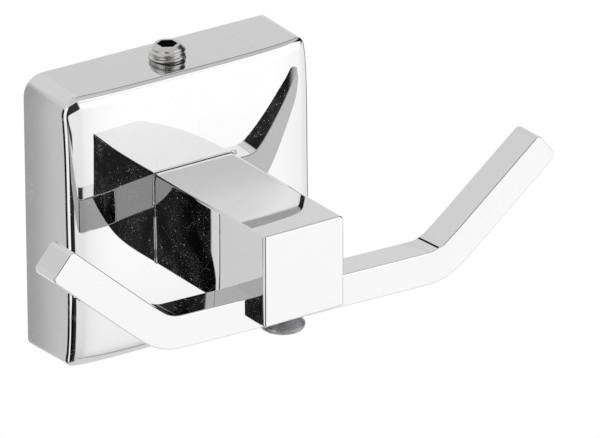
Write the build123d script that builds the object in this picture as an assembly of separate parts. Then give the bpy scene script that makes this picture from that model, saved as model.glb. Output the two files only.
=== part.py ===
"""Double towel hook: a square domed wall flange, a square post and one bent square bar.

Millimetres. The wall is the plane y = 0, the hook stands out of it towards -Y, +Z is up and
+X is to the right of someone facing the wall. The origin is the middle of the flange's back.
"""

from build123d import *
from math import cos, radians, sin, sqrt, tan
import os

# Flange: a hollow cast cap with drafted sides and a softly domed face
flange_side = 48.0
flange_depth = 13.8
side_draft = 2.0
flange_corner_radius = 1.8
flange_soft_corner_radius = 3.5
dome_radius = 235.0
face_edge_radius = 1.2
side_wall = 2.5
face_wall = 2.2
cavity_corner_radius = 2.0
post_boss_diameter = 18.0
post_boss_rise = 1.3
screw_boss_diameter = 10.0
screw_boss_depth = 4.5

# Post: one square block, let into a shallow seat in the flange's face
post_side = 15.85
post_projection = 44.7
post_seat_depth = 0.5
post_edge_radius = 0.35
post_soft_edge_radius = 1.0
seat_clearance = 0.04

# Hook bar: one square bar with both ends bent up, let into a slot under the post
bar_side = 5.7
bar_run = 52.4
bar_left_arm = 24.4
bar_right_arm = 25.2
bend_angle = 40.0
bend_inner_radius = 4.2
bar_tip_radius = 1.0
bar_edge_radius = 0.3
bar_offset = 2.7
bar_tilt = 1.8
bar_setback = 3.0
slot_depth = 4.1
slot_clearance = 0.05

# Screw that holds the bar, from below
bar_screw_diameter = 4.0
bar_screw_length = 11.0
bar_screw_head_diameter = 7.55
bar_screw_cone_height = 1.3
bar_screw_rim_height = 1.05
bar_screw_rim_radius = 0.9
bar_screw_socket = 2.5
bar_screw_socket_depth = 1.3
bar_screw_hole_clearance = 0.15

# Screw that holds the post, from inside the flange, and its spring washer
post_screw_diameter = 6.0
post_screw_length = 16.0
post_screw_head_flats = 10.0
post_screw_head_height = 4.0
post_screw_hole_clearance = 0.3
washer_diameter = 11.0
washer_bore = 6.4
washer_thickness = 1.6
washer_split = 0.8
washer_split_angle = 35.0

# Set screw in the flange's top side
set_screw_diameter = 6.0
set_screw_length = 10.0
set_screw_proud = 2.4
set_screw_from_wall = 5.8
set_screw_chamfer = 0.9
set_screw_point_diameter = 3.6
set_screw_socket = 3.0
set_screw_socket_depth = 3.0

# Wall bracket: a folded steel strip, screwed to the wall inside the flange
bracket_width = 22.0
bracket_thickness = 2.0
bracket_leg = 9.0
bracket_bend_radius = 1.0
wall_screw_spacing = 20.0
wall_screw_hole_diameter = 4.6

# Fits
thread_clearance = 0.05
bottom_clearance = 0.05
tapped_hole_spare = 1.5

# Two places that are closer than this are one place
same_place = 1e-6

# Worked out from the sizes above
draft_slope = tan(radians(side_draft))
post_base_y = -(flange_depth - post_seat_depth)
post_front_y = -post_projection
post_half = post_side / 2
slot_roof_z = -post_half + slot_depth
bar_front_y = post_front_y + bar_setback
bar_middle_y = bar_front_y + bar_side / 2
face_inner_y = -(flange_depth - face_wall)
boss_inner_y = face_inner_y + post_boss_rise
screw_head_y = boss_inner_y + washer_thickness
set_screw_top = flange_side / 2 - set_screw_from_wall * draft_slope + set_screw_proud
bracket_top = set_screw_top - set_screw_length
bracket_bottom = -(flange_side / 2 - side_wall - bracket_leg * draft_slope - bottom_clearance)

# The bar, its slot and its screw share one frame: on the slot's roof, under the post's middle
hook_frame = Location((0, bar_middle_y, slot_roof_z), (0, bar_tilt, 0))


def rounded_square(side, radius, soft_radius):
    """A square sketch in the wall's plane; its upper left corner takes the soft radius."""
    sketch = Rectangle(side, side)
    corners = sketch.vertices().sort_by(lambda v: v.X - v.Y)
    sketch = fillet(corners[1:], radius)
    soft_corner = sketch.vertices().sort_by(lambda v: v.X - v.Y)[0]
    return Plane.XZ * fillet(soft_corner, soft_radius)


def along_y(radius, y_from, y_to):
    """A cylinder round the post's axis, between two distances from the wall."""
    length = abs(y_to - y_from)
    middle = (y_from + y_to) / 2
    return Pos(0, middle, 0) * Rot(90, 0, 0) * Cylinder(radius, length)


def upright(radius, z_from, z_to):
    """A cylinder that stands along Z between two heights."""
    return Pos(0, 0, (z_from + z_to) / 2) * Cylinder(radius, abs(z_to - z_from))


def hexagon(flats, depth):
    """A hexagonal prism along Z, centred, given by its size across the flats."""
    return extrude(RegularPolygon(flats / sqrt(3), 6), depth / 2, both=True)


def domed_block(side, corner, soft_corner, depth, radius):
    """A drafted square block whose front is part of a large sphere."""
    sides = extrude(rounded_square(side, corner, soft_corner), depth, taper=side_draft)
    dome = Pos(0, radius - depth, 0) * Sphere(radius)
    return sides & dome


def make_flange():
    """The hollow cap: an outer domed block, an inner one taken out, and two bosses left inside."""
    outer = domed_block(
        flange_side,
        flange_corner_radius,
        flange_soft_corner_radius,
        flange_depth,
        dome_radius,
    )
    face = outer.faces().filter_by(GeomType.SPHERE)
    outer = fillet(face.edges(), face_edge_radius)
    cavity = domed_block(
        flange_side - 2 * side_wall,
        cavity_corner_radius,
        cavity_corner_radius,
        flange_depth - face_wall,
        dome_radius - face_wall,
    )
    cap = outer - cavity

    post_boss = along_y(post_boss_diameter / 2, -flange_depth + face_wall / 2, boss_inner_y)
    boss_bottom = flange_side / 2 - side_wall - screw_boss_depth
    screw_boss = upright(screw_boss_diameter / 2, boss_bottom, flange_side / 2 - side_wall / 2)
    screw_boss = Pos(0, -set_screw_from_wall, 0) * screw_boss
    cap = cap + post_boss + screw_boss

    seat_side = post_side + 2 * seat_clearance
    seat = extrude(rounded_square(seat_side, post_edge_radius, post_edge_radius), post_projection)
    seat = Pos(0, post_base_y, 0) * seat
    post_screw_hole_radius = post_screw_diameter / 2 + post_screw_hole_clearance
    post_screw_hole = along_y(post_screw_hole_radius, post_front_y, 0)
    set_screw_hole = upright(set_screw_diameter / 2 + thread_clearance, 0, flange_side)
    set_screw_hole = Pos(0, -set_screw_from_wall, 0) * set_screw_hole
    return cap - seat - post_screw_hole - set_screw_hole


def make_post():
    """The square block, with its bar slot and its two tapped holes."""
    length = post_base_y - post_front_y
    block = Pos(0, (post_base_y + post_front_y) / 2, 0) * Box(post_side, length, post_side)
    long_edges = block.edges().filter_by(Axis.Y).sort_by(lambda e: e.center().X + e.center().Z)
    block = fillet(long_edges[-1], post_soft_edge_radius)
    out_to_corner = post_side - same_place
    long_edges = block.edges().filter_by(Axis.Y)
    sharp_edges = [e for e in long_edges if abs(e.center().X) + abs(e.center().Z) > out_to_corner]
    front = block.faces().sort_by(Axis.Y)[0]
    block = fillet(sharp_edges + front.edges(), post_edge_radius)

    slot_width = bar_side + 2 * slot_clearance
    slot = Pos(0, 0, -post_side / 2) * Box(2 * post_side, slot_width, post_side)
    tapped_depth = bar_screw_length - bar_side + tapped_hole_spare
    bar_screw_hole = upright(bar_screw_diameter / 2 + thread_clearance, -bar_side, tapped_depth)
    post_screw_end = screw_head_y - post_screw_length - tapped_hole_spare
    post_screw_hole = along_y(post_screw_diameter / 2 + thread_clearance, 0, post_screw_end)
    return block - hook_frame * (slot + bar_screw_hole) - post_screw_hole


def arm_outline(half, outer, arm):
    """The corners of one bent-up arm, from its outer bend over its tip to its inner bend."""
    turn = radians(bend_angle)
    tip_x = half + arm * cos(turn)
    tip_z = arm * sin(turn)
    return [
        (outer, -bar_side),
        (tip_x + bar_side * sin(turn), tip_z - bar_side * cos(turn)),
        (tip_x, tip_z),
        (half, 0),
    ]


def make_hook_bar():
    """The bar in one bend plane: an outline with round bends, given its width, then its edges eased."""
    half = bar_run / 2
    outer = half + bar_side * tan(radians(bend_angle) / 2)
    right_side = arm_outline(half, outer, bar_right_arm)
    left_side = [(-x, z) for x, z in reversed(arm_outline(half, outer, bar_left_arm))]
    outline = make_face(Polyline(*right_side, *left_side, close=True))
    bends_inner = [v for v in outline.vertices() if abs(v.Y) < same_place]
    outline = fillet(bends_inner, bend_inner_radius)
    bends_outer = [v for v in outline.vertices() if abs(abs(v.X) - outer) < same_place]
    outline = fillet(bends_outer, bend_inner_radius + bar_side)
    shorter_arm = min(bar_left_arm, bar_right_arm)
    tips_from = half + shorter_arm * cos(radians(bend_angle))
    tips = [v for v in outline.vertices() if abs(v.X) > tips_from - same_place]
    outline = fillet(tips, bar_tip_radius)
    bar = extrude(Plane.XZ * outline, bar_side / 2, both=True)
    sides = bar.faces().filter_by(Axis.Y)
    bar = fillet(sides.edges(), bar_edge_radius)
    bar = Pos(bar_offset, 0, 0) * bar
    hole_radius = bar_screw_diameter / 2 + bar_screw_hole_clearance
    bar = bar - upright(hole_radius, -2 * bar_side, bar_side)
    return hook_frame * bar


def make_bar_screw():
    """The screw under the post: a cone head with a soft lower rim, a hex socket and a plain shank."""
    head_radius = bar_screw_head_diameter / 2
    cone_bottom = -bar_side - bar_screw_cone_height
    head_bottom = cone_bottom - bar_screw_rim_height
    cone = Cone(head_radius, head_radius - bar_screw_cone_height, bar_screw_cone_height)
    head = Pos(0, 0, cone_bottom + bar_screw_cone_height / 2) * cone
    rim = upright(head_radius, head_bottom, cone_bottom)
    head = head + fillet(rim.edges().sort_by(Axis.Z)[0], bar_screw_rim_radius)
    shank = upright(bar_screw_diameter / 2, -bar_side, bar_screw_length - bar_side)
    socket = Pos(0, 0, head_bottom) * hexagon(bar_screw_socket, 2 * bar_screw_socket_depth)
    return hook_frame * (head + shank - socket)


def make_post_screw():
    """The hexagon-head screw that holds the post from inside the flange."""
    head = hexagon(post_screw_head_flats, post_screw_head_height)
    head = Pos(0, screw_head_y + post_screw_head_height / 2, 0) * Rot(90, 0, 0) * head
    shank = along_y(post_screw_diameter / 2, screw_head_y, screw_head_y - post_screw_length)
    return head + shank


def make_post_washer():
    """The split spring washer under that head, pressed flat."""
    ring = along_y(washer_diameter / 2, boss_inner_y, screw_head_y)
    ring = ring - along_y(washer_bore / 2, post_front_y, 0)
    gap = Pos(washer_diameter / 2, boss_inner_y, 0)
    gap = gap * Rot(washer_split_angle, 0, 0) * Box(washer_diameter, 4 * washer_thickness, washer_split)
    return ring - gap


def make_set_screw():
    """The headless screw: bevelled at the top, with a hex socket and a small flat point."""
    radius = set_screw_diameter / 2
    body = upright(radius, bracket_top, set_screw_top)
    top_edge = body.edges().sort_by(Axis.Z)[-1]
    body = chamfer(top_edge, set_screw_chamfer)
    point_edge = body.edges().sort_by(Axis.Z)[0]
    body = chamfer(point_edge, radius - set_screw_point_diameter / 2)
    socket = Pos(0, 0, set_screw_top) * hexagon(set_screw_socket, 2 * set_screw_socket_depth)
    return Pos(0, -set_screw_from_wall, 0) * (body - socket)


def make_wall_bracket():
    """The folded strip: a web on the wall with two screw holes, and a leg at each end."""
    outer_radius = bracket_bend_radius + bracket_thickness
    inner_top = bracket_top - bracket_thickness
    inner_bottom = bracket_bottom + bracket_thickness
    points = [
        (0, bracket_top),
        (-bracket_leg, bracket_top),
        (-bracket_leg, inner_top),
        (-bracket_thickness, inner_top),
        (-bracket_thickness, inner_bottom),
        (-bracket_leg, inner_bottom),
        (-bracket_leg, bracket_bottom),
        (0, bracket_bottom),
    ]
    profile = make_face(Polyline(*points, close=True))
    at_web = [v for v in profile.vertices() if abs(v.X + bracket_thickness) < same_place]
    profile = fillet(at_web, bracket_bend_radius)
    at_wall = [v for v in profile.vertices() if abs(v.X) < same_place]
    profile = fillet(at_wall, outer_radius)
    bracket = extrude(Plane.YZ * profile, bracket_width / 2, both=True)
    hole = along_y(wall_screw_hole_diameter / 2, -2 * bracket_thickness, bracket_thickness)
    for side in (-1, 1):
        bracket = bracket - Pos(0, 0, side * wall_screw_spacing / 2) * hole
    return bracket


pieces = {
    "flange": make_flange(),
    "wall_bracket": make_wall_bracket(),
    "post": make_post(),
    "post_screw": make_post_screw(),
    "post_washer": make_post_washer(),
    "hook_bar": make_hook_bar(),
    "bar_screw": make_bar_screw(),
    "set_screw": make_set_screw(),
}

os.makedirs("parts", exist_ok=True)
for name, shape in pieces.items():
    export_step(shape, f"parts/{name}.step")
    print(name, round(shape.volume, 1), "mm3")
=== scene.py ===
# %% [markdown]
# # A square towel hook in polished chrome
# The real thing is a zinc casting for the wall, a square post and one bent square bar, all polished
# and plated, so nearly everything seen on it is a reflection. Two things decide the look: very
# smooth skins with clean flat faces, and surroundings with white, grey and dark parts in the right
# directions. This lesson builds both, in metres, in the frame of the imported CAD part.

import math

import bmesh
import bpy
from mathutils import Matrix, Vector


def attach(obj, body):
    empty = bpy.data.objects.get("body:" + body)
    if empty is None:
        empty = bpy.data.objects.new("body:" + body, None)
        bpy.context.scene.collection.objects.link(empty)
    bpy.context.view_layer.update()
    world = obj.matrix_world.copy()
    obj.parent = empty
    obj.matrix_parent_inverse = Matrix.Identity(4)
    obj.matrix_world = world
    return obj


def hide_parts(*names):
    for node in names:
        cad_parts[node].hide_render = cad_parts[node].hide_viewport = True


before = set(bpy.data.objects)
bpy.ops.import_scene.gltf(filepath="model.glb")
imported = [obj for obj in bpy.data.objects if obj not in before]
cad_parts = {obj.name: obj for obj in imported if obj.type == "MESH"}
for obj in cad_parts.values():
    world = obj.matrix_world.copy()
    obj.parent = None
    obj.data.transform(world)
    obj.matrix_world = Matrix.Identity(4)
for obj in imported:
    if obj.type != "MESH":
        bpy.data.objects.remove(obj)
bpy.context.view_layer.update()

# %% [markdown]
# ## Sizes
# Most sizes are those of the CAD part, in millimetres. Each piece below is made from them again,
# with much finer rounds, because a mirror finish shows every facet of a coarse mesh. The shape of
# the flange's face, the polished side of the post and the eased bends are finer than in the CAD
# part: they come from the way in which the photograph's mirror images bend.

# %% Sizes in millimetres
FLANGE_SIDE, FLANGE_DEPTH, SIDE_DRAFT = 48.0, 13.8, math.radians(2.0)
FLANGE_CORNERS, FACE_EDGE = (1.8, 3.5, 1.8, 1.8), 1.2  # upper right first, then anticlockwise
FACE_BEND, SHOULDER, SHOULDER_FROM = (1.009e-5, 1.21e-8), 0.05, 20.3
LEAN, LEAN_MIDDLE, LEAN_WIDTH = 0.0214, -3.0, 9.0
SIDE_WALL, FACE_WALL, CAVITY_CORNER = 2.5, 2.2, 2.0
POST_BOSS_RADIUS, POST_BOSS_RISE, SCREW_BOSS_RADIUS, SCREW_BOSS_DEPTH = 9.0, 1.3, 5.0, 4.5
POST_SIDE, POST_FRONT_Y, POST_BASE_Y = 15.85, -44.7, -13.3
POST_EDGE, POST_UPRIGHT, POST_SOFT_EDGE = 0.35, 0.5, 1.0
SEAT_GAP, SEAT_ROUND, SEAT_SINK, POST_SCREW_HOLE = 0.04, 0.16, 0.01, 3.3
POLISH_SLOPE = 0.034
POLISH_STARTS = ((-25.0, 6.0, 1), (-36.0, 4.0, -1))  # starts at this y, full after this way, on or off
BAR_SIDE, BAR_RUN, BEND = 5.7, 52.4, math.radians(40.0)
LEFT_ARM, RIGHT_ARM = 24.4, 25.2
BEND_INNER, BEND_EASE, EASE_TURN = 5.5, 50.0, math.radians(4.5)
BAR_TIP, BAR_EDGE, BAR_TWIST = 1.0, 0.22, 0.08
BAR_OFFSET, BAR_TILT, BAR_SETBACK = 2.7, math.radians(1.8), 3.0
SLOT_DEPTH, SLOT_GAP = 4.1, 0.05
BAR_SCREW_HEAD, BAR_SCREW_CONE, BAR_SCREW_RIM_HEIGHT, BAR_SCREW_RIM = 3.775, 1.3, 1.05, 0.9
BAR_SCREW_SHANK, BAR_SCREW_LENGTH = 2.0, 11.0
BAR_SCREW_SOCKET, BAR_SCREW_SOCKET_DEPTH = 2.5, 1.3
SET_RADIUS, SET_LENGTH, SET_PROUD, SET_FROM_WALL, SET_GAP = 3.0, 10.0, 2.4, 5.8, 0.05
SET_BEVEL, SET_POINT, SET_SOCKET, SET_SOCKET_DEPTH = 0.9, 1.8, 3.0, 3.0
SET_PITCH, SET_THREAD_DEPTH = 1.03, 0.42
MM = 0.001
print("flange", FLANGE_SIDE, "post", POST_SIDE, "bar", BAR_SIDE, "set screw", 2 * SET_RADIUS)

# %% [markdown]
# ## Skins made of rings
# A polished bar or block has big flat faces and small round edges. If one smooth mesh covers both,
# the flat faces pick up a false curve from their neighbours, and a mirror shows it at once. The
# cure used here is a guard: an extra point just outside each round, so that only a hair's breadth
# of the flat face bends. Every section is a rounded rectangle with such guards, and rings of
# sections are joined into one closed skin.

# %% Sections, rounds and lofts
GUARD = 0.03
LEAST_CORNER = 0.004
SHARP_FROM = math.radians(28)


def tangent(degrees):
    """The direction in which a circle runs on, anticlockwise, at this angle."""
    return -math.sin(math.radians(degrees)), math.cos(math.radians(degrees))


def section(half_a, half_b, corners, steps=7, flats=1):
    """Points of a rounded rectangle, anticlockwise from the upper right corner's round.

    `corners` is one radius or four, and each straight side is cut in `flats` parts.
    """
    corners = corners if isinstance(corners, tuple) else (corners,) * 4
    points = []
    for quarter in range(4):
        corner = corners[quarter]
        sign_a, sign_b = ((1, 1), (-1, 1), (-1, -1), (1, -1))[quarter]
        centre = (sign_a * (half_a - corner), sign_b * (half_b - corner))
        arc = []
        for step in range(steps + 1):
            turn = math.radians(90 * quarter + 90 * step / steps)
            arc.append((centre[0] + corner * math.cos(turn), centre[1] + corner * math.sin(turn)))
        along = tangent(90 * quarter)
        before = (arc[0][0] - GUARD * along[0], arc[0][1] - GUARD * along[1])
        along = tangent(90 * quarter + 90)
        after = (arc[-1][0] + GUARD * along[0], arc[-1][1] + GUARD * along[1])
        points += [before, *arc, after]
        if flats > 1:
            length = 2 * (half_a if quarter % 2 == 0 else half_b)
            length -= corner + corners[(quarter + 1) % 4] + 2 * GUARD
            for part in range(1, flats):
                move = length * part / flats
                points.append((after[0] + move * along[0], after[1] + move * along[1]))
    return points


def round_off(radius, steps=9):
    """Pairs of distance from the end and inset of the side, along a quarter round."""
    turns = [math.pi / 2 * step / steps for step in range(steps + 1)]
    return [(radius * (1 - math.sin(t)), radius * (1 - math.cos(t))) for t in turns]


def ring_distances(*rounds):
    """Distances from the end where rings follow several rounds, the farthest first."""
    return sorted({d for radius, steps in rounds for d, _ in round_off(radius, steps)}, reverse=True)


def inset_at(radius, distance):
    """How far the side has come in at this distance from the end."""
    if distance >= radius:
        return 0.0
    return radius - math.sqrt(max(0.0, radius**2 - (radius - distance) ** 2))


def loft(name, rings):
    """One closed skin through rings of equally many points, given in millimetres."""
    mesh = bpy.data.meshes.new(name)
    count = len(rings[0])
    corners = [Vector(p) * MM for ring in rings for p in ring]
    faces = []
    for level in range(len(rings) - 1):
        here, ahead = level * count, (level + 1) * count
        for i in range(count):
            j = (i + 1) % count
            faces.append((here + i, here + j, ahead + j, ahead + i))
    faces.append(tuple(reversed(range(count))))
    faces.append(tuple((len(rings) - 1) * count + i for i in range(count)))
    mesh.from_pydata(corners, [], faces)
    work = bmesh.new()
    work.from_mesh(mesh)
    bmesh.ops.remove_doubles(work, verts=work.verts, dist=1e-9)
    bmesh.ops.recalc_face_normals(work, faces=work.faces)
    work.to_mesh(mesh)
    work.free()
    thing = bpy.data.objects.new(name, mesh)
    bpy.context.scene.collection.objects.link(thing)
    return thing


def combine(target, tool, operation="DIFFERENCE"):
    """Cuts the tool out of the target, or joins it on, and takes the tool away."""
    modifier = target.modifiers.new("combine", "BOOLEAN")
    modifier.object, modifier.operation, modifier.solver = tool, operation, "EXACT"
    ready = target.evaluated_get(bpy.context.evaluated_depsgraph_get())
    mesh = bpy.data.meshes.new_from_object(ready)
    target.modifiers.clear()
    old, target.data = target.data, mesh
    bpy.data.meshes.remove(old)
    bpy.data.objects.remove(tool)


def finish_skin(thing):
    """Smooth shading over rounds, crisp lines where faces meet at more than SHARP_FROM."""
    mesh = thing.data
    mesh.polygons.foreach_set("use_smooth", [True] * len(mesh.polygons))
    mesh.set_sharp_from_angle(angle=SHARP_FROM)
    mesh.update()
    print(thing.name, len(mesh.vertices), "points,", len(mesh.polygons), "faces")
    return thing


# %% Tools for cuts, which reach well past the piece so that each cut goes through
def box_tool(low, high):
    """A plain block between two corners, for cutting."""
    ring = [(low[0], low[1]), (high[0], low[1]), (high[0], high[1]), (low[0], high[1])]
    return loft("tool", [[(x, y, z) for x, y in ring] for z in (low[2], high[2])])


def round_tool(radius, low, high, axis="Z", centre=(0, 0), count=96):
    """A plain cylinder along Z or Y between two distances, for cutting or joining."""
    rings = []
    for distance in (low, high):
        ring = []
        for i in range(count):
            turn = 2 * math.pi * i / count
            a, b = centre[0] + radius * math.cos(turn), centre[1] + radius * math.sin(turn)
            ring.append((a, b, distance) if axis == "Z" else (a, distance, b))
        rings.append(ring)
    return loft("tool", rings)


# %% [markdown]
# ## The flange
# The flange is a hollow cap: drafted sides, a domed face, and a soft edge between them. The post is
# mirrored in the face, and the bend of its image shows that the dome is nearly flat in the middle,
# rounder towards the edges and leans a hair upwards. `fall_back` and `face_at` hold that shape.
#
# Bevel tools would round the edge well enough for a matt part, but in chrome the edge is where all
# the dark lines are, so it is worked out as a ball would roll along it. The ball touches the side
# and the face, and its arc gives the points and keeps the skin smooth.


# %% A domed block, ring by ring
def fall_back(t):
    """How far the dome falls back at a distance from its middle, and its slope there."""
    past = max(abs(t) - SHOULDER_FROM, 0.0)
    depth = FACE_BEND[0] * t**4 / 4 + FACE_BEND[1] * t**6 / 6 + SHOULDER * past**3 / 3
    return depth, FACE_BEND[0] * t**3 + FACE_BEND[1] * t**5 + math.copysign(SHOULDER * past**2, t)


def face_at(x, z):
    """How far the face lies behind its middle at this place, and the direction out of it."""
    (depth_x, slope_x), (depth_z, slope_z) = fall_back(x), fall_back(z)
    lean = (z - LEAN_MIDDLE) / LEAN_WIDTH
    behind = depth_x + depth_z + LEAN * LEAN_WIDTH * math.tanh(lean)
    return behind, Vector((slope_x, -1.0, slope_z + LEAN / math.cosh(lean) ** 2)).normalized()


def domed_rings(half, corners, depth, edge, flats=28):
    """Rings from the open back to the middle of the face, all on the true surfaces."""
    slope = math.tan(SIDE_DRAFT)
    reference = section(half, half, corners, 14, flats)
    count = len(reference)
    directions, balls = [], []
    for x, z in reference:
        corner = corners[(0 if z > 0 else 3) if x > 0 else (1 if z > 0 else 2)]
        cx, cz = max(abs(x) - (half - corner), 0), max(abs(z) - (half - corner), 0)
        length = math.hypot(cx, cz)
        directions.append((math.copysign(cx / length, x), math.copysign(cz / length, z)))
    for (base_x, base_z), (out_x, out_z) in zip(reference, directions):
        y = edge - depth
        # The ball slides in along the side until it rests on the face, in a few rounds.
        for _ in range(8):
            inset = -y * slope + edge / math.cos(SIDE_DRAFT)
            x, z = base_x - inset * out_x, base_z - inset * out_z
            behind, normal = face_at(x, z)
            for _ in range(6):
                behind, normal = face_at(x + edge * normal.x, z + edge * normal.z)
            y = behind - depth - edge * normal.y
        side_normal = Vector((
            out_x * math.cos(SIDE_DRAFT), -math.sin(SIDE_DRAFT), out_z * math.cos(SIDE_DRAFT)
        ))
        balls.append((Vector((x, y, z)), side_normal, normal))

    def point(i, share):
        centre, side_normal, normal = balls[i]
        return centre + edge * side_normal.slerp(normal, share) if edge else centre

    rings = [[(x, 0.0, z) for x, z in reference]]
    starts = [Vector((x, 0, z)) for x, z in reference]
    for share in (0.35, 0.7, 1 - GUARD / depth):
        rings.append([tuple(starts[i].lerp(point(i, 0), share)) for i in range(count)])
    steps = 16 if edge else 0
    for step in range(steps + 1):
        rings.append([tuple(point(i, step / max(steps, 1))) for i in range(count)])
    # The face's rings lie closer together towards the rim, where the face bends most.
    rim = rings[-1]
    face_rings, crowding = 60, 1.7
    for k in range(1, face_rings):
        share = 1 - (k / face_rings) ** crowding
        inner = [(x * share, z * share) for x, _, z in rim]
        rings.append([(x, face_at(x, z)[0] - depth, z) for x, z in inner])
    return rings


flange = loft("flange_skin", domed_rings(FLANGE_SIDE / 2, FLANGE_CORNERS, FLANGE_DEPTH, FACE_EDGE))
inner_half, inner_depth = FLANGE_SIDE / 2 - SIDE_WALL, FLANGE_DEPTH - FACE_WALL
inner_rings = domed_rings(inner_half, (CAVITY_CORNER,) * 4, inner_depth, 0.0, 10)
inner_rings.insert(0, [(x, 1.0, z) for x, _, z in inner_rings[0]])
combine(flange, loft("tool", inner_rings))

# %% The flange's bosses, seat and screw holes
boss_y = -inner_depth + POST_BOSS_RISE
combine(flange, round_tool(POST_BOSS_RADIUS, -FLANGE_DEPTH + FACE_WALL / 2, boss_y, "Y"), "UNION")
boss_low = inner_half - SCREW_BOSS_DEPTH
screw_spot = (0, -SET_FROM_WALL)
boss = round_tool(SCREW_BOSS_RADIUS, boss_low, FLANGE_SIDE / 2 - SIDE_WALL / 2, "Z", screw_spot)
combine(flange, boss, "UNION")


def seat_ring(grow, lift):
    """The seat's outline, grown, at a small distance from the face."""
    half = POST_SIDE / 2 + SEAT_GAP + grow
    outline = section(half, half, (POST_SOFT_EDGE, POST_EDGE, POST_EDGE, POST_EDGE))
    return [(x, face_at(x, z)[0] - FLANGE_DEPTH + lift, z) for x, z in outline]


seat = [[(x, POST_BASE_Y, z) for x, _, z in seat_ring(0, 0)]]
seat += [seat_ring(inset, lift - SEAT_SINK) for lift, inset in round_off(SEAT_ROUND, 5)]
seat.append([(x, y - 9, z) for x, y, z in seat[-1]])
combine(flange, loft("tool", seat))
combine(flange, round_tool(POST_SCREW_HOLE, -20, 0, "Y"))
combine(flange, round_tool(SET_RADIUS + SET_GAP, 0, 30, "Z", screw_spot))
finish_skin(flange)

# %% [markdown]
# ## The post
# The post is one square block. Its long edges are barely broken, but for the upper right one, which
# is soft, and the two upright edges in front are a little rounder than those above and below. The
# rings run from the seat to the front, and each rounding comes in at its own pace. Polishing took a
# third of a millimetre off the left face in front, and `polished_away` puts that in the rings,
# because it moves what is mirrored there. The slot for the bar is cut with a boolean afterwards,
# because that is how the real slot was milled.

# %% Post rings and slot
half_post = POST_SIDE / 2
steps_in = ring_distances((POST_UPRIGHT, 12), (POST_EDGE, 7))
long_edges = (POST_SOFT_EDGE, POST_EDGE, POST_EDGE, POST_EDGE)


def polished_away(y):
    """How far the left face has come in at this distance from the wall."""
    taken = 0.0
    for start, length, sign in POLISH_STARTS:
        past = max(start - y, 0.0)
        early = min(past, length)
        taken += sign * (early**2 / (2 * length) + past - early)
    return POLISH_SLOPE * taken


post_rings = [[(x, POST_BASE_Y, z) for x, z in section(half_post, half_post, long_edges)]]
quarters = range(5)
curved = [start - POST_FRONT_Y - way * part / 4 for start, way, _ in POLISH_STARTS for part in quarters]
for distance in [*curved, POST_UPRIGHT + GUARD, *steps_in]:
    half_x = half_post - inset_at(POST_UPRIGHT, distance)
    half_z = half_post - inset_at(POST_EDGE, distance)
    corners = tuple(max(edge - inset_at(POST_EDGE, distance), LEAST_CORNER) for edge in long_edges)
    post_rings.append([(x, POST_FRONT_Y + distance, z) for x, z in section(half_x, half_z, corners)])
inner = section(half_post - POST_UPRIGHT - GUARD, half_post - POST_EDGE - GUARD, corners)
post_rings.append([(x, POST_FRONT_Y, z) for x, z in inner])
post_rings = [[(x + polished_away(y) * (x < 0), y, z) for x, y, z in ring] for ring in post_rings]
post = loft("post_skin", post_rings)

bar_middle_y = POST_FRONT_Y + BAR_SETBACK + BAR_SIDE / 2
slot_roof_z = -half_post + SLOT_DEPTH
slot_roof = Vector((0, bar_middle_y, slot_roof_z)) * MM
hook_frame = Matrix.Translation(slot_roof) @ Matrix.Rotation(BAR_TILT, 4, "Y")
half_slot = BAR_SIDE / 2 + SLOT_GAP
slot_tool = box_tool((-20, -half_slot, -16), (20, half_slot, 0))
slot_tool.data.transform(hook_frame)
combine(post, slot_tool)
finish_skin(post)

# %% [markdown]
# ## The hook bar
# One square bar, bent up at both ends. Its shape follows a rule, a section carried along a line
# with two round bends, and the tips are rounded more in the plane of the bend than across it. The
# last few degrees of each bend are spread over a longer way, as on a bar bent cold, and the sky's
# reflection runs smoothly from the bend into the arm. The rings sit square on that line.


# %% Bar rings
def bar_stations(arm):
    """Points on the bar's upper side from the middle to a tip, with the bar's direction."""
    x, z, turn = 0.0, 0.0, 0.0
    curve = [(x, z, turn)]
    bend_steps, ease_steps = 24, 12
    bend = [(BEND_INNER, (BEND - EASE_TURN) / bend_steps)] * bend_steps
    ease = [(BEND_EASE, EASE_TURN / ease_steps)] * ease_steps
    for radius, share in bend + ease:
        x += radius * (math.sin(turn + share) - math.sin(turn))
        z += radius * (math.cos(turn) - math.cos(turn + share))
        turn += share
        curve.append((x, z, turn))
    start = BAR_RUN / 2 - (x - z / math.tan(BEND))
    curve = [(start + x, z, turn) for x, z, turn in curve]
    halfway = 12.0
    stations = [(x, 0.0, 0.0) for x in (0.0, halfway, start - GUARD)] + curve
    left_over = arm - curve[-1][1] / math.sin(BEND)
    end_x, end_z, _ = curve[-1]
    tip_rings = ring_distances((BAR_TIP, 12), (BAR_EDGE, 6))
    along = (left_over - GUARD, left_over / 2, BAR_TIP + GUARD, *tip_rings)
    for distance in along:
        run = left_over - distance
        stations.append((end_x + run * math.cos(BEND), end_z + run * math.sin(BEND), BEND))
    far = 1e9
    return stations, [far] * (len(stations) - len(along)) + list(along)


def bar_ring(x, z, turn, distance, side, guard=0.0):
    """One square section of the bar; `side` is 1 on the right and -1 on the left."""
    half_up = BAR_SIDE / 2 - inset_at(BAR_TIP, distance) - guard
    half_y = BAR_SIDE / 2 - inset_at(BAR_EDGE, distance) - guard
    corner = max(BAR_EDGE - inset_at(BAR_EDGE, distance), LEAST_CORNER)
    up_x, up_z = -math.sin(turn), math.cos(turn)
    middle_x, middle_z = x - up_x * BAR_SIDE / 2, z - up_z * BAR_SIDE / 2
    ring = []
    for across, up in section(half_y, half_up, corner):
        ring.append((side * (middle_x + up * up_x) + BAR_OFFSET, across, middle_z + up * up_z))
    return ring


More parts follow.
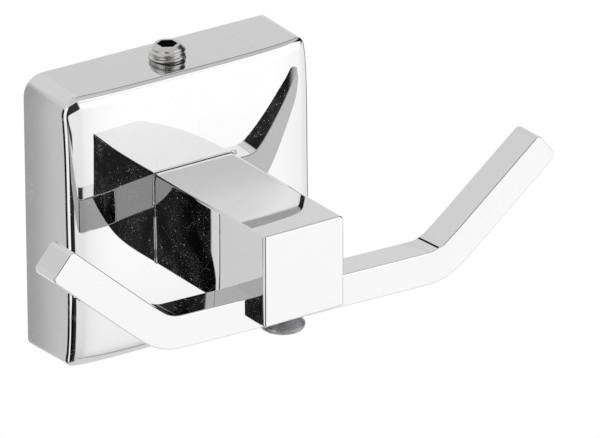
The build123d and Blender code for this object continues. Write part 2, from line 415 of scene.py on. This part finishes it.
halves = {}
for side, arm in ((1, RIGHT_ARM), (-1, LEFT_ARM)):
    stations, distances = bar_stations(arm)
    halves[side] = [bar_ring(*station, distance, side) for station, distance in zip(stations, distances)]
    halves[side].append(bar_ring(*stations[-1], 0.0, side, GUARD))
hook_bar = loft("hook_bar_skin", halves[-1][:0:-1] + halves[1])
hook_bar.data.transform(hook_frame)
finish_skin(hook_bar)

# %% [markdown]
# ## The screw under the post
# A cone head with a soft rim and a hexagon socket holds the bar. It is a turned shape, so each ring
# is a circle, and the socket's rings take the hexagon's distance at each angle instead.


# %% Turned rings
def hexagon_at(flats, turn):
    """Distance from the middle to the side of a hexagon at this angle."""
    return flats / 2 / math.cos((turn + math.pi / 6) % (math.pi / 3) - math.pi / 6)


def turned(name, profile, count=96):
    """A turned piece; each line is a height and a radius, or minus the size of a hexagon."""
    rings = []
    for height, radius in profile:
        ring = []
        for i in range(count):
            turn = 2 * math.pi * i / count
            reach = radius if radius > 0 else hexagon_at(-radius, turn)
            ring.append((reach * math.cos(turn), reach * math.sin(turn), height))
        rings.append(ring)
    return loft(name, rings)


cone_low = -BAR_SIDE - BAR_SCREW_CONE
head_low = cone_low - BAR_SCREW_RIM_HEIGHT
profile = [(head_low + BAR_SCREW_SOCKET_DEPTH, -BAR_SCREW_SOCKET), (head_low, -BAR_SCREW_SOCKET)]
profile += [(head_low, BAR_SCREW_HEAD - BAR_SCREW_RIM - GUARD)]
profile += [(head_low + d, BAR_SCREW_HEAD - i) for d, i in reversed(round_off(BAR_SCREW_RIM))]
profile += [(cone_low, BAR_SCREW_HEAD), (-BAR_SIDE, BAR_SCREW_HEAD - BAR_SCREW_CONE)]
profile += [(-BAR_SIDE, BAR_SCREW_SHANK), (BAR_SCREW_LENGTH - BAR_SIDE, BAR_SCREW_SHANK)]
bar_screw = turned("bar_screw_skin", profile)
bar_screw.data.transform(hook_frame)
finish_skin(bar_screw)

# %% [markdown]
# ## The set screw
# A headless screw stands up out of the flange. Its thread repeats along a helix, so Geometry Nodes
# make it: a flat grid is rolled into a tube, and the radius of each point follows the thread's
# phase, which grows with the height and falls with the angle. The bevel and the point only set a
# limit on the radius, which cuts the thread off the way a lathe would.


# %% A socket that can be used in Python arithmetic
class Wire:
    """A node's output; each arithmetic step on it adds one Math node."""

    def __init__(self, board, socket):
        self.board, self.socket = board, socket

    def math(self, operation, *others):
        return self.board.node("ShaderNodeMath", {"operation": operation}, [self, *others])

    def __add__(self, other):
        return self.math("ADD", other)

    def __mul__(self, other):
        return self.math("MULTIPLY", other)

    __radd__, __rmul__ = __add__, __mul__

    def __sub__(self, other):
        return self.math("SUBTRACT", other)

    def __rsub__(self, other):
        return self.board.node("ShaderNodeMath", {"operation": "SUBTRACT"}, [other, self])

    def __truediv__(self, other):
        return self.math("DIVIDE", other)

    def __pow__(self, other):
        return self.math("POWER", other)

    def step(self, low, high):
        """0 below `low`, 1 above `high`, and a soft change between them."""
        settings = {"interpolation_type": "SMOOTHSTEP"}
        return self.board.node("ShaderNodeMapRange", settings, {0: self, 1: low, 2: high})

    def out(self, name):
        return Wire(self.board, self.socket.node.outputs[name])


class Board:
    """A node tree with one method that makes any node, sets it and wires it."""

    def __init__(self, tree):
        self.tree = tree

    def node(self, kind, settings=None, inputs=()):
        made = self.tree.nodes.new(kind)
        for key, value in (settings or {}).items():
            setattr(made, key, value)
        pairs = inputs.items() if isinstance(inputs, dict) else enumerate(inputs)
        for key, value in pairs:
            if isinstance(value, Wire):
                self.tree.links.new(value.socket, made.inputs[key])
            else:
                made.inputs[key].default_value = value
        return Wire(self, made.outputs[0]) if made.outputs else made


# %% The thread's tree
THREAD = {
    "Radius": SET_RADIUS,
    "Length": SET_LENGTH,
    "Pitch": SET_PITCH,
    "Depth": SET_THREAD_DEPTH,
    "Top Radius": SET_RADIUS - SET_BEVEL,
    "Point Radius": SET_POINT,
}
POINTS_AROUND, POINTS_ALONG = 97, 321
CREST_ENDS, ROOT_STARTS = 0.18, 0.88


def thread_tree():
    """A tube whose radius follows a screw thread, in millimetres."""
    tree = bpy.data.node_groups.new("screw thread", "GeometryNodeTree")
    face = tree.interface
    for name, value in THREAD.items():
        face.new_socket(name, in_out="INPUT", socket_type="NodeSocketFloat").default_value = value
    face.new_socket("Material", in_out="INPUT", socket_type="NodeSocketMaterial")
    face.new_socket("Geometry", in_out="OUTPUT", socket_type="NodeSocketGeometry")
    board = Board(tree)
    given = board.node("NodeGroupInput")
    grid = board.node("GeometryNodeMeshGrid", {}, {
        "Size X": 1.0, "Size Y": 1.0, "Vertices X": POINTS_AROUND, "Vertices Y": POINTS_ALONG
    })
    place = board.node("ShaderNodeSeparateXYZ", {}, [board.node("GeometryNodeInputPosition")])
    around = place.out("X") + 0.5
    height = (place.out("Y") + 0.5) * given.out("Length")
    phase = (height / given.out("Pitch") - around).math("FRACT")
    flank = (phase - 0.5).math("ABSOLUTE") * 2.0
    groove = 1.0 - flank.step(CREST_ENDS, ROOT_STARTS)
    radius = given.out("Radius") - groove * given.out("Depth")
    radius = radius.math("MINIMUM", given.out("Top Radius") + (given.out("Length") - height))
    radius = radius.math("MINIMUM", given.out("Point Radius") + height)
    turn = around * (2 * math.pi)
    spot = board.node("ShaderNodeCombineXYZ", {}, [
        radius * turn.math("COSINE"), radius * turn.math("SINE"), height
    ])
    tube = board.node("GeometryNodeSetPosition", {}, {"Geometry": grid, "Position": spot})
    tube = board.node("GeometryNodeMergeByDistance", {}, {"Geometry": tube, "Distance": 1e-6})
    real = board.node("GeometryNodeRealizeInstances", {}, [tube])
    painted = board.node("GeometryNodeSetMaterial", {}, {
        "Geometry": real, "Material": given.out("Material")
    })
    board.node("NodeGroupOutput", {}, {"Geometry": painted})
    return tree


set_top = FLANGE_SIDE / 2 - SET_FROM_WALL * math.tan(SIDE_DRAFT) + SET_PROUD
holder = bpy.data.objects.new("set_screw_skin", bpy.data.meshes.new("start"))
bpy.context.scene.collection.objects.link(holder)
tree = thread_tree()
modifier = holder.modifiers.new("thread", "NODES")
modifier.node_group = tree
for item in tree.interface.items_tree:
    if item.name in THREAD and item.in_out == "INPUT":
        modifier[item.identifier] = THREAD[item.name]
ready = holder.evaluated_get(bpy.context.evaluated_depsgraph_get())
tube = bpy.data.meshes.new_from_object(ready)
holder.modifiers.clear()
holder.data = tube
print("thread tube", len(tube.vertices), "points")

# %% Close the ends of the thread, with the hexagon socket on top
work = bmesh.new()
work.from_mesh(tube)


def end_ring(height):
    """The tube's open ring at this height, in the order of its angle."""
    found = [v for v in work.verts if v.is_boundary and abs(v.co.z - height) < 1e-4]
    return sorted(found, key=lambda v: math.atan2(v.co.y, v.co.x))


def carry_on(ring, place):
    """New points beside a ring, joined to it by a band of faces."""
    fresh = [work.verts.new(place(math.atan2(v.co.y, v.co.x))) for v in ring]
    for i in range(len(ring)):
        j = (i + 1) % len(ring)
        work.faces.new((ring[i], ring[j], fresh[j], fresh[i]))
    return fresh


def hexagon_spot(height):
    """Gives the point of the socket's hexagon at an angle, at this height."""
    def place(turn):
        reach = hexagon_at(SET_SOCKET, turn)
        return (reach * math.cos(turn), reach * math.sin(turn), height)

    return place


rim = carry_on(end_ring(SET_LENGTH), hexagon_spot(SET_LENGTH))
floor_ring = carry_on(rim, hexagon_spot(SET_LENGTH - SET_SOCKET_DEPTH))
work.faces.new(floor_ring)
work.faces.new(list(reversed(end_ring(0.0))))
bmesh.ops.recalc_face_normals(work, faces=work.faces)
set_place = Vector((0, -SET_FROM_WALL, set_top - SET_LENGTH))
for corner in work.verts:
    corner.co = (corner.co + set_place) * MM
work.to_mesh(tube)
work.free()
set_screw = finish_skin(holder)

# %% [markdown]
# ## Finishes
# Real chromium throws back only about two thirds of the light. That matters here, because the post
# and the bar are seen again in the flange: each further reflection is darker by that share. What
# makes the plating look used rather than computed is small: a faint waviness from polishing, and
# dust and hairline marks that only show over dark reflections. The dust is a second, dull shader,
# mixed in thinly where a cell pattern says that a speck lies there, and a still thinner film of it
# lies in clouds over the whole skin.


# %% Helpers for colours and speck patterns
def light(value):
    """The linear light of a screen value from 0 to 1."""
    return value / 12.92 if value <= 0.04045 else ((value + 0.055) / 1.055) ** 2.4


def new_material(name):
    """An empty material with its board and its Object coordinates."""
    material = bpy.data.materials.new(name)
    material.use_nodes = True
    material.node_tree.nodes.clear()
    board = Board(material.node_tree)
    return material, board, board.node("ShaderNodeTexCoord").out("Object")


def specks(board, where, size_mm, share, radius):
    """A mask of small dots, one at most in each cell, in the given share of the cells."""
    cells = board.node("ShaderNodeTexVoronoi", {}, {"Vector": where, "Scale": 1000 / size_mm})
    chosen = board.node("ShaderNodeSeparateColor", {}, [cells.out("Color")])
    picked = chosen.out("Red").step(1 - share, 1 - share + 0.01)
    size = chosen.out("Green") * radius
    return picked * (1 - (cells.out("Distance") - size).step(0.0, 0.06))


def hairlines(board, where):
    """Short thin marks: the middle line of a slow noise, kept only in a few spots."""
    bend = board.node("ShaderNodeTexNoise", {}, {"Vector": where, "Scale": 90.0, "Detail": 1.0})
    kept = board.node("ShaderNodeTexNoise", {}, {"Vector": where, "Scale": 260.0, "Detail": 0.0})
    line = 1 - ((bend - 0.5).math("ABSOLUTE")).step(0.0, 0.004)
    return line * kept.step(0.58, 0.66)


# %% Metals with waves, dust and hairlines
DUST_COLOUR, DUST_ROUGHNESS = (0.90, 0.89, 0.88, 1), 0.8
DUST_COVER, FILM_COVER, HAIRLINE_COVER = 0.29, 0.018, 0.35
FINE_SPECK_MM, COARSE_SPECK_MM = 0.42, 1.1


def metal(name, colour, roughness, waviness, wave_mm, dust_share, swell=None, painted_shade=None):
    """A plated metal; the waves' height and length are in millimetres.

    `swell` gives a slow curve of the skin in millimetres; the last argument is a painted shade factor on
    the colour.
    """
    material, board, where = new_material(name)
    place = board.node("ShaderNodeSeparateXYZ", {}, [where])
    x_mm, y_mm, z_mm = (place.out(axis) * 1000.0 for axis in "XYZ")
    waves = board.node("ShaderNodeTexNoise", {}, {
        "Vector": where, "Scale": 1000 / wave_mm, "Detail": 1.0
    })
    height = waves * waviness
    if swell:
        height = height + swell(x_mm, y_mm)
    bump = board.node("ShaderNodeBump", {}, {"Strength": 1.0, "Distance": MM, "Height": height})
    haze = board.node("ShaderNodeTexNoise", {}, {"Vector": where, "Scale": 250.0, "Detail": 4.0})
    rough = roughness + haze.step(0.45, 0.75) * roughness * 0.8
    shine = board.node("ShaderNodeBsdfPrincipled", {}, {
        "Metallic": 1.0, "Roughness": rough, "Normal": bump, "Base Color": (*colour, 1)
    })
    # Painted shade: the colour is darkened by the given factor.
    if painted_shade:
        shade_factor = painted_shade(x_mm, y_mm, z_mm)
        shaded_colour = board.node("ShaderNodeCombineColor", {}, [shade_factor * part for part in colour])
        board.tree.links.new(shaded_colour.socket, shine.socket.node.inputs["Base Color"])
    dull = board.node("ShaderNodeBsdfPrincipled", {}, {
        "Base Color": DUST_COLOUR, "Metallic": 0.0, "Roughness": DUST_ROUGHNESS
    })
    cloud = board.node("ShaderNodeTexNoise", {}, {"Vector": where, "Scale": 220.0, "Detail": 4.0})
    fine = specks(board, where, FINE_SPECK_MM, dust_share, 0.30)
    coarse = specks(board, where, COARSE_SPECK_MM, dust_share * 0.6, 0.16)
    dust = fine.math("MAXIMUM", coarse) * cloud.step(0.40, 0.62)
    dust = dust.math("MAXIMUM", hairlines(board, where) * HAIRLINE_COVER)
    cover = dust * DUST_COVER + cloud.step(0.42, 0.68) * FILM_COVER
    mixed = board.node("ShaderNodeMixShader", {}, [cover, shine, dull])
    board.node("ShaderNodeOutputMaterial", {}, [mixed])
    return material


def bar_swell(x_mm, y_mm):
    """The right arm is twisted by a few degrees, which came with the bending."""
    return (y_mm - bar_middle_y) * BAR_TWIST * x_mm.step(22.0, 33.0)


def flange_painted_shade(x_mm, y_mm, z_mm):
    """Painted shade on the flange's left side, darker towards the wall."""
    shade_depth = 0.46 - 0.32 * (y_mm / -13.0).step(0.0, 0.78)
    return 1 - shade_depth * (1 - x_mm.step(-23.4, -22.9))


def socket_painted_shade(x_mm, y_mm, z_mm):
    """Painted shade in the set screw's hexagon socket, which is nearly black inside."""
    from_middle = x_mm**2.0 + (y_mm + SET_FROM_WALL) ** 2.0
    return 1 - 0.93 * (1 - from_middle.step(3.1, 3.4)) * (1 - z_mm.step(set_top - 0.25, set_top - 0.08))


# %% The finishes: colour, roughness, waves' height and length, share of dusty cells
CHROME = 0.62
plate = (CHROME, CHROME, CHROME * 1.005)
# The flange's left side gets painted shade, darker towards the wall.
flange_chrome = metal("flange chrome", plate, 0.012, 0.0015, 9.0, 0.35, painted_shade=flange_painted_shade)
post_chrome = metal("post chrome", plate, 0.012, 0.0015, 9.0, 0.45)
bar_chrome = metal("bar chrome", plate, 0.012, 0.0015, 9.0, 0.35, swell=bar_swell)
screw_steel = metal("satin screw steel", (0.40, 0.40, 0.41), 0.38, 0.001, 2.0, 0.2)
# The set screw's socket gets painted shade, nearly black inside.
nickel = metal("bright nickel", (0.50, 0.495, 0.485), 0.22, 0.001, 2.0, 0.2, painted_shade=socket_painted_shade)
zinc = metal("zinc plate", (0.40, 0.41, 0.42), 0.35, 0.004, 3.0, 0.2)
print("finishes:", [m.name for m in (flange_chrome, post_chrome, bar_chrome, screw_steel, nickel, zinc)])

# %% Dress the pieces
slots = {
    flange: ("flange", "flange_chrome", flange_chrome),
    post: ("post", "post_chrome", post_chrome),
    hook_bar: ("hook_bar", "bar_chrome", bar_chrome),
    bar_screw: ("bar_screw", "bar_screw_chrome", screw_steel),
    set_screw: ("set_screw", "set_screw_nickel", nickel),
}
for piece, (node, slot, finish) in slots.items():
    piece.data.materials.clear()
    piece.data.materials.append(finish)
    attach(piece, "root")
    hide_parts(node)
for node in ("wall_bracket", "post_screw", "post_washer"):
    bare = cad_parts[node]
    for spot in bare.material_slots:
        spot.material = zinc
    print(node, "keeps its CAD mesh,", len(bare.data.polygons), "faces")

# %% [markdown]
# ## Surroundings
# The light comes from the whole sky of a small studio: a white card in front on the right, another
# on the left, grey card behind, and the dark room in between, where the camera stands. The
# world's direction decides which of them a reflection meets: `turn` is the angle around the
# upright axis in degrees, with 0 straight in front of the hook, and `rise` runs from -1 below to
# 1 above. The camera itself sees plain white.


# %% World in directions
def build_world():
    """Zones of light by direction, each given as the screen value of its first reflection."""
    world = bpy.data.worlds.new("studio")
    bpy.context.scene.world = world
    world.use_nodes = True
    world.node_tree.nodes.clear()
    board = Board(world.node_tree)
    direction = board.node("ShaderNodeTexCoord").out("Generated")
    way = board.node("ShaderNodeSeparateXYZ", {}, [direction])
    rise = way.out("Z")
    turn = way.out("X").math("ARCTAN2", way.out("Y") * -1.0) * (180 / math.pi)

    def between(low, high, soft=1.5):
        return turn.step(low - soft, low + soft) * (1 - turn.step(high - soft, high + soft))

    def levels(low, high, soft=0.02):
        return rise.step(low - soft, low + soft) * (1 - rise.step(high - soft, high + soft))

    def beyond(limit, soft):
        return (turn - limit).step(-soft, soft)

    def lay(under, over, mask):
        return under + mask * (over - under)

    def paint(under, zones):
        for value, where in zones:
            under = lay(under, value, where)
        return under

    # Grey card wherever nothing else stands: the tops, the left sides and the lower border.
    sky = lay(light(0.79), light(0.81), rise.step(0.25, 0.34))
    sky = paint(sky, [
        (light(0.78), levels(0.42, 0.50, 0.03)),
        (light(0.78), rise.step(0.7, 0.85)),
        (light(0.81), 1 - rise.step(-0.82, -0.76)),
        (light(0.50), levels(-0.82, -0.79)),
        (0.80, turn.step(122, 130) * levels(-0.7, -0.1)),
    ])

    # The white card in front on the right, which the face and all front sides meet. It is less
    # bright low down and at its sides.
    edge_turn = -17.0 - 9.0 * rise.step(-0.27, -0.18) + 38.0 * rise.step(-0.15, 0.15)
    bright = lay(light(0.84), light(0.93), rise.step(-0.80, -0.56))
    bright = paint(bright, [
        (light(1.0), rise.step(-0.60, -0.26)),
        (1.22, rise.step(0.0, 0.25)),
        (0.82, rise.step(0.385, 0.41)),
        (1.00, rise.step(0.41, 0.50)),
    ])
    bright = bright * (1 + 0.28 * turn.step(36.0, 50.0) * rise.step(0.38, 0.52))
    bright = bright * (0.80 + 0.20 * turn.step(8.0, 29.0))
    bright = bright * (1 - 0.07 * turn.step(37.0, 48.0) - 0.12 * turn.step(48.0, 78.0))
    front_card = beyond(edge_turn, 2.0) * (1 - turn.step(96.0, 98.0)) * levels(-0.79, 0.74)
    sky = lay(sky, bright, front_card)

    # Greys for the flange's upper border, a thin dark bar that the right bend shows, then a grey
    # and a black card on the right, of which the corners and the post's mirror image show parts.
    sky = paint(sky, [
        (light(0.73), between(14, 75) * levels(0.66, 0.82, 0.04)),
        (light(0.73), between(72, 132, 8.0) * rise.step(0.52, 0.66)),
        (light(0.52), between(124, 138, 4.0) * rise.step(0.52, 0.60)),
        (light(0.12), between(165.0, 173.0, 0.6) * levels(0.69, 0.75, 0.004)),
        (light(0.50), between(90, 122) * levels(-0.7, 0.05)),
        (light(0.08), between(72, 122) * levels(0.08, 0.66)),
    ])

    # The white card on the left, the dark room between the two white cards, and a black card
    # behind the left one, which draws the thin dark lines.
    dark_turn = -51.5 - (1 - rise.step(-0.46, -0.40)) * 20.0
    white_card = turn.step(-93.0, -91.0) * (1 - beyond(dark_turn, 1.5)) * levels(-0.9, 0.55)
    dark_room = beyond(dark_turn, 1.5) * (1 - beyond(edge_turn, 2.0)) * levels(-0.85, 0.64)
    sky = paint(sky, [
        (light(1.0), white_card),
        (0.003 + 0.014 * turn.step(-40.0, -31.0), dark_room),
        (light(0.08), between(-135, -94) * levels(-0.9, 0.3)),
    ])

    seen = board.node("ShaderNodeLightPath").out("Is Camera Ray")
    brightness = lay(sky / CHROME, 1.0, seen)
    colour = board.node("ShaderNodeCombineXYZ", {}, [brightness, brightness, brightness])
    glow = board.node("ShaderNodeBackground", {}, [colour, 1.0])
    board.node("ShaderNodeOutputWorld", {}, [glow])
    print("world with", len(board.tree.nodes), "nodes")


build_world()

# %% [markdown]
# ## Floor, lamp and camera
# A pale floor lies well below the hook, which hangs on a wall in use. The reflections in the
# photograph come from cards and not from this floor, so it is hidden from shiny surfaces. The
# camera is a long lens from the front left and above, as measured from the photograph's edges.

# %% Floor and lamp
bpy.ops.mesh.primitive_plane_add(size=6, location=(0, 0, -0.35))
floor = bpy.context.object
floor.name = "floor"
material, board, _ = new_material("pale floor")
pale = board.node("ShaderNodeBsdfDiffuse", {}, [(0.9, 0.9, 0.9, 1)])
shown = board.node("ShaderNodeEmission", {}, [(1, 1, 1, 1), 1.0])
seen = board.node("ShaderNodeLightPath").out("Is Camera Ray")
board.node("ShaderNodeOutputMaterial", {}, [board.node("ShaderNodeMixShader", {}, [seen, pale, shown])])
floor.data.materials.append(material)
floor.visible_glossy = False

lamp_data = bpy.data.lights.new("soft lamp", "AREA")
lamp_data.size, lamp_data.energy = 0.8, 3.0
lamp = bpy.data.objects.new("soft lamp", lamp_data)
bpy.context.scene.collection.objects.link(lamp)
lamp.location = (-0.4, -0.6, 1.0)
lamp.rotation_euler = (Vector((0, 0, 0)) - lamp.location).to_track_quat("-Z", "Y").to_euler()
lamp.visible_glossy = False
print("floor at", round(floor.location.z, 3), "lamp at", [round(v, 3) for v in lamp.location])

# %% Camera
AZIMUTH, ELEVATION, ROLL = math.radians(-33.253), math.radians(23.623), math.radians(-0.589)
DISTANCE, LENS, SENSOR = 1.152, 420.85, 36.0
AIM_RIGHT, AIM_DOWN = 0.02481, 0.00645
back = Vector((
    math.sin(AZIMUTH) * math.cos(ELEVATION), -math.cos(AZIMUTH) * math.cos(ELEVATION), math.sin(ELEVATION)
))
right = Vector((math.cos(AZIMUTH), math.sin(AZIMUTH), 0))
up = back.cross(right)
rolled_right = math.cos(ROLL) * right + math.sin(ROLL) * up
rolled_up = math.cos(ROLL) * up - math.sin(ROLL) * right
eye = back * DISTANCE
aim = rolled_right * AIM_RIGHT - rolled_up * AIM_DOWN
behind = (eye - aim).normalized()
side = rolled_up.cross(behind).normalized()
top = behind.cross(side)
camera_data = bpy.data.cameras.new("camera")
camera_data.lens, camera_data.sensor_width = LENS, SENSOR
camera_data.clip_start, camera_data.clip_end = 0.05, 20.0
camera = bpy.data.objects.new("camera", camera_data)
camera.matrix_world = Matrix((
    (side.x, top.x, behind.x, eye.x),
    (side.y, top.y, behind.y, eye.y),
    (side.z, top.z, behind.z, eye.z),
    (0, 0, 0, 1),
))
bpy.context.scene.collection.objects.link(camera)
bpy.context.scene.camera = camera
bpy.context.scene.view_settings.view_transform = "Standard"
print("camera at", [round(v, 3) for v in eye])
